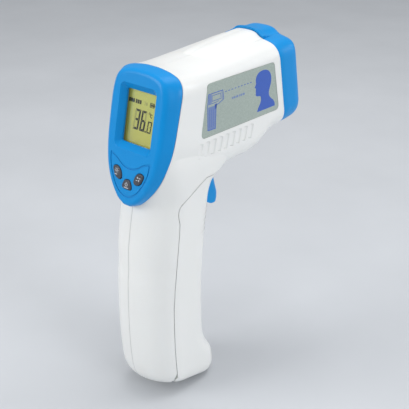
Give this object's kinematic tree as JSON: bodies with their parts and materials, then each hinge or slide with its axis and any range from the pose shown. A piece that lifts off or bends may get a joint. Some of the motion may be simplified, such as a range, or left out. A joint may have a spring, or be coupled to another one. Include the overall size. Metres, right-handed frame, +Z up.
{
  "type": "infrared thermometer",
  "caption": "Pistol-grip infrared forehead thermometer with display head, symbol keys, trigger, sensor nose and a hinged battery door in the grip.",
  "frame": {"origin": "on the clamshell parting plane, under the middle of the object's length, level with the lowest point of the grip's foot", "axes": "+Z up the grip to the top of the barrel, +Y along the barrel toward the sensor nose, +X to the user's right when the display faces the user"},
  "size_m": [0.0382, 0.1028, 0.1658],
  "materials": {
    "white_housing": "smooth satin-gloss white ABS",
    "blue_accent": "satin-gloss blue ABS",
    "charcoal_key": "fine matt charcoal keys with printed symbols",
    "black_plastic": "matt black moulding",
    "clear_window": "clear acrylic window",
    "lcd_glass": "yellow-green reflective display glass",
    "light_guide": "frosted light guide",
    "contact_rubber": "layered contact rubber",
    "circuit_board": "green solder mask",
    "plated_steel": "zinc-plated steel",
    "dark_metal": "black anodised aluminium",
    "polished_cone": "polished, warm-tinted reflector",
    "ir_filter": "dark silicon infrared filter",
    "flat_cable": "flat ribbon cable",
    "spring_wire": "bright spring wire",
    "cell_can": "plain foil-wrapped cell can",
    "nickel_contact": "nickel-plated contact plate",
    "wire_insulation": "soft insulated wire",
    "label_film": "grey-green printed film with blue artwork"
  },
  "bodies": {
    "housing": {"housing_left": "white_housing", "housing_right": "white_housing", "display_bezel": "blue_accent", "nose_cap": "blue_accent", "key_switches": "black_plastic", "display_window": "clear_window", "lcd_panel": "lcd_glass", "lcd_backlight": "light_guide", "lcd_frame": "black_plastic", "lcd_contact_strip": "contact_rubber", "main_board": "circuit_board", "sensor_board": "circuit_board", "trigger_board": "circuit_board", "board_screws": "plated_steel", "housing_screws": "plated_steel", "microcontroller": "black_plastic", "buzzer": "black_plastic", "sensor_bracket": "black_plastic", "sensor_tube": "dark_metal", "sensor_cone": "polished_cone", "sensor_socket": "dark_metal", "thermopile_can": "plated_steel", "sensor_filter": "ir_filter", "sensor_cable": "flat_cable", "trigger_pin": "plated_steel", "trigger_spring": "spring_wire", "trigger_switch": "black_plastic", "battery_tray": "black_plastic", "battery_cell_left": "cell_can", "battery_cell_right": "cell_can", "battery_contacts": "nickel_contact", "battery_springs": "spring_wire", "battery_wires": "wire_insulation", "door_hinge_pin": "plated_steel", "label_right": "label_film"},
    "trigger": {"trigger": "blue_accent"},
    "trigger_switch_plunger": {"trigger_switch_plunger": "black_plastic"},
    "button_left": {"button_left": "charcoal_key", "key_plunger_left": "black_plastic"},
    "button_center": {"button_center": "charcoal_key", "key_plunger_center": "black_plastic"},
    "button_right": {"button_right": "charcoal_key", "key_plunger_right": "black_plastic"},
    "battery_door": {"battery_door": "white_housing"}
  },
  "joints": [
    {"name": "trigger_pivot", "type": "hinge", "parent": "housing", "child": "trigger", "pos_m": [0, -0.006, 0.117], "axis": [-1, 0, 0], "range_deg": [0, 8], "stiffness_Nm_per_rad": 0.05},
    {"name": "trigger_switch_travel", "type": "slide", "parent": "housing", "child": "trigger_switch_plunger", "axis": [0, -1, 0], "range_m": [0, 0.002]},
    {"name": "button_left_press", "type": "slide", "parent": "housing", "child": "button_left", "axis": [0, 0.9781, -0.2079], "range_m": [0, 0.0005]},
    {"name": "button_center_press", "type": "slide", "parent": "housing", "child": "button_center", "axis": [0, 0.9781, -0.2079], "range_m": [0, 0.0005]},
    {"name": "button_right_press", "type": "slide", "parent": "housing", "child": "button_right", "axis": [0, 0.9781, -0.2079], "range_m": [0, 0.0005]},
    {"name": "battery_door_hinge", "type": "hinge", "parent": "housing", "child": "battery_door", "pos_m": [0, -0.0345, 0.0092], "axis": [-1, 0, 0], "range_deg": [0, 75]}
  ],
  "couplings": [
    {"joint": "trigger_switch_travel", "follows": "trigger_pivot", "m_per_rad": 0.0142}
  ]
}
